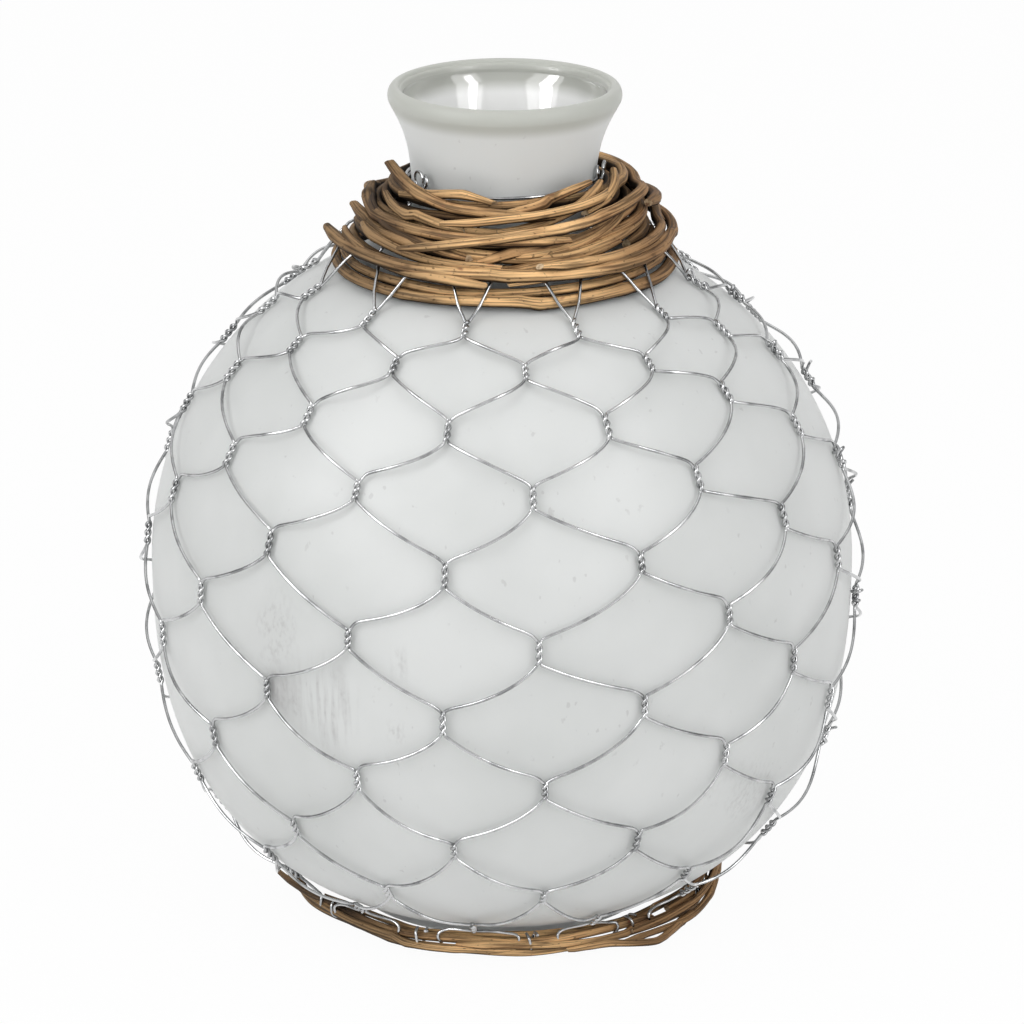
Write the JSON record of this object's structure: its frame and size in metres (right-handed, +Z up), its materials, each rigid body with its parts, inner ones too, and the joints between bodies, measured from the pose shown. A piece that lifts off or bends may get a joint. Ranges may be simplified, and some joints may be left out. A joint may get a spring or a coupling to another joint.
{
  "type": "frosted glass vase",
  "caption": "Ball-shaped frosted glass vase with a short flared neck, wrapped in hexagonal wire netting between a wound willow collar at the neck and a willow ring at the foot.",
  "frame": {"origin": "middle of the foot, on the surface the vase stands on", "axes": "+Z up along the axis of the glass; the pictured side faces -Y, with +X on its right"},
  "size_m": [0.2065, 0.2064, 0.2381],
  "materials": {
    "frosted_glass": "frosted outside, glossy inside",
    "galvanised_wire": "galvanised, semi-bright",
    "willow": "unpeeled bark, satin"
  },
  "bodies": {
    "root": {"glass_vase": "frosted_glass", "net_wire_01": "galvanised_wire", "net_wire_02": "galvanised_wire", "net_wire_03": "galvanised_wire", "net_wire_04": "galvanised_wire", "net_wire_05": "galvanised_wire", "net_wire_06": "galvanised_wire", "net_wire_07": "galvanised_wire", "net_wire_08": "galvanised_wire", "net_wire_09": "galvanised_wire", "net_wire_10": "galvanised_wire", "net_wire_11": "galvanised_wire", "net_wire_12": "galvanised_wire", "net_wire_13": "galvanised_wire", "net_wire_14": "galvanised_wire", "net_wire_15": "galvanised_wire", "net_wire_16": "galvanised_wire", "net_wire_17": "galvanised_wire", "net_wire_18": "galvanised_wire", "net_wire_19": "galvanised_wire", "net_wire_20": "galvanised_wire", "net_wire_21": "galvanised_wire", "net_wire_22": "galvanised_wire", "net_wire_23": "galvanised_wire", "net_wire_24": "galvanised_wire", "neck_binding_wire": "galvanised_wire", "collar_stake_wire_1": "galvanised_wire", "collar_stake_wire_2": "galvanised_wire", "collar_stake_wire_3": "galvanised_wire", "collar_stake_wire_4": "galvanised_wire", "collar_stake_wire_5": "galvanised_wire", "collar_rod_01": "willow", "collar_rod_02": "willow", "collar_rod_03": "willow", "collar_rod_04": "willow", "collar_rod_05": "willow", "collar_rod_06": "willow", "collar_rod_07": "willow", "collar_rod_08": "willow", "collar_rod_09": "willow", "collar_rod_10": "willow", "collar_rod_11": "willow", "collar_rod_12": "willow", "collar_rod_13": "willow", "collar_rod_14": "willow", "collar_rod_15": "willow", "collar_rod_16": "willow", "foot_rod_1": "willow", "foot_rod_2": "willow", "foot_rod_3": "willow", "foot_rod_4": "willow", "foot_rod_5": "willow", "foot_rod_6": "willow", "foot_rod_7": "willow", "foot_tie_1": "galvanised_wire", "foot_tie_2": "galvanised_wire", "foot_tie_3": "galvanised_wire", "foot_tie_4": "galvanised_wire", "foot_tie_5": "galvanised_wire", "foot_tie_6": "galvanised_wire"}
  },
  "joints": []
}
